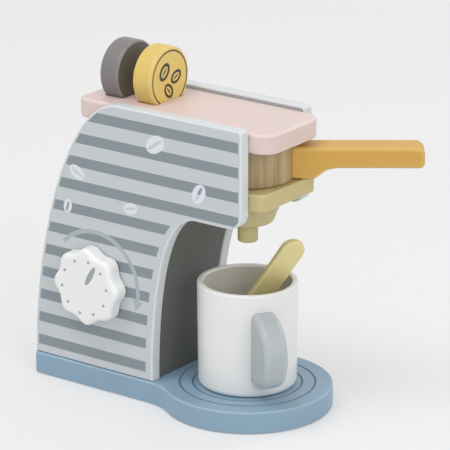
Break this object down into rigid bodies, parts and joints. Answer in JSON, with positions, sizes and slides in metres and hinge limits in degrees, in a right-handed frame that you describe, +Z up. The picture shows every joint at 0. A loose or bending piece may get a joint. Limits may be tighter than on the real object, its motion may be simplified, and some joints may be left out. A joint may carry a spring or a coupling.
{
  "type": "toy coffee maker",
  "caption": "Wooden toy coffee maker with a swivelling filter handle, a turning side knob, slots for coffee pods on top, and a cup with a spoon on its round base.",
  "frame": {"origin": "on the underside of the base, straight below the middle of the cup and of the spout", "axes": "+Z up, +X towards the front, where the cup stands, and +Y towards the left side; the knob is on the right side, at -Y"},
  "size_m": [0.2575, 0.1359, 0.244],
  "materials": {
    "blue_paint": "satin water-based paint on fibreboard",
    "striped_paint": "light grey satin paint printed with darker stripes",
    "pink_paint": "satin paint",
    "slate_paint": "matte paint on bent plywood",
    "olive_paint": "satin paint",
    "bare_wood": "untreated beech",
    "lacquered_wood": "clear satin lacquer, vertical grain",
    "orange_paint": "satin paint",
    "white_paint": "satin paint",
    "cup_grey_paint": "satin paint",
    "pod_grey_paint": "satin paint",
    "pod_yellow_paint": "satin paint printed in dark brown",
    "steel": "zinc-plated steel"
  },
  "bodies": {
    "machine": {"base_board": "blue_paint", "base_screw_right_rear": "steel", "base_screw_left_rear": "steel", "base_screw_right_front": "steel", "base_screw_left_front": "steel", "panel_right": "striped_paint", "panel_left": "striped_paint", "board_dowel_right_rear": "bare_wood", "board_dowel_right_front": "bare_wood", "board_dowel_left_rear": "bare_wood", "board_dowel_left_front": "bare_wood", "shelf_dowel_right_rear": "bare_wood", "shelf_dowel_right_front": "bare_wood", "shelf_dowel_left_rear": "bare_wood", "shelf_dowel_left_front": "bare_wood", "recess_sheet": "slate_paint", "rear_sheet": "slate_paint", "top_board": "pink_paint", "brew_shelf": "olive_paint", "spout_funnel": "olive_paint", "pivot_dowel": "bare_wood"},
    "filter": {"filter_holder": "lacquered_wood", "filter_handle": "orange_paint", "handle_dowel": "bare_wood"},
    "dial": {"knob": "white_paint", "knob_bolt": "steel", "knob_washer": "steel", "knob_nut": "steel"},
    "cup_set": {"cup": "white_paint", "cup_handle": "cup_grey_paint"},
    "stirrer": {"spoon": "olive_paint"},
    "grey_pod": {"pod_grey": "pod_grey_paint"},
    "yellow_pod": {"pod_yellow": "pod_yellow_paint"}
  },
  "joints": [
    {"name": "filter_swivel", "type": "hinge", "parent": "machine", "child": "filter", "pos_m": [0, 0, 0.1785], "axis": [0, 0, 1], "range_deg": [-74, 2]},
    {"name": "knob_turn", "type": "hinge", "parent": "machine", "child": "dial", "pos_m": [-0.1005, -0.0365, 0.0783], "axis": [0, -1, 0], "continuous": true},
    {"name": "cup_slide", "type": "slide", "parent": "machine", "child": "cup_set", "axis": [0.9397, 0, 0.342], "range_m": [0, 0.12]},
    {"name": "spoon_lift", "type": "slide", "parent": "cup_set", "child": "stirrer", "axis": [0.511, 0.166, 0.8434], "range_m": [0, 0.08]},
    {"name": "pod_grey_lift", "type": "slide", "parent": "machine", "child": "grey_pod", "axis": [0, 0, 1], "range_m": [0, 0.03]},
    {"name": "pod_yellow_lift", "type": "slide", "parent": "machine", "child": "yellow_pod", "axis": [0, 0, 1], "range_m": [0, 0.03]}
  ]
}
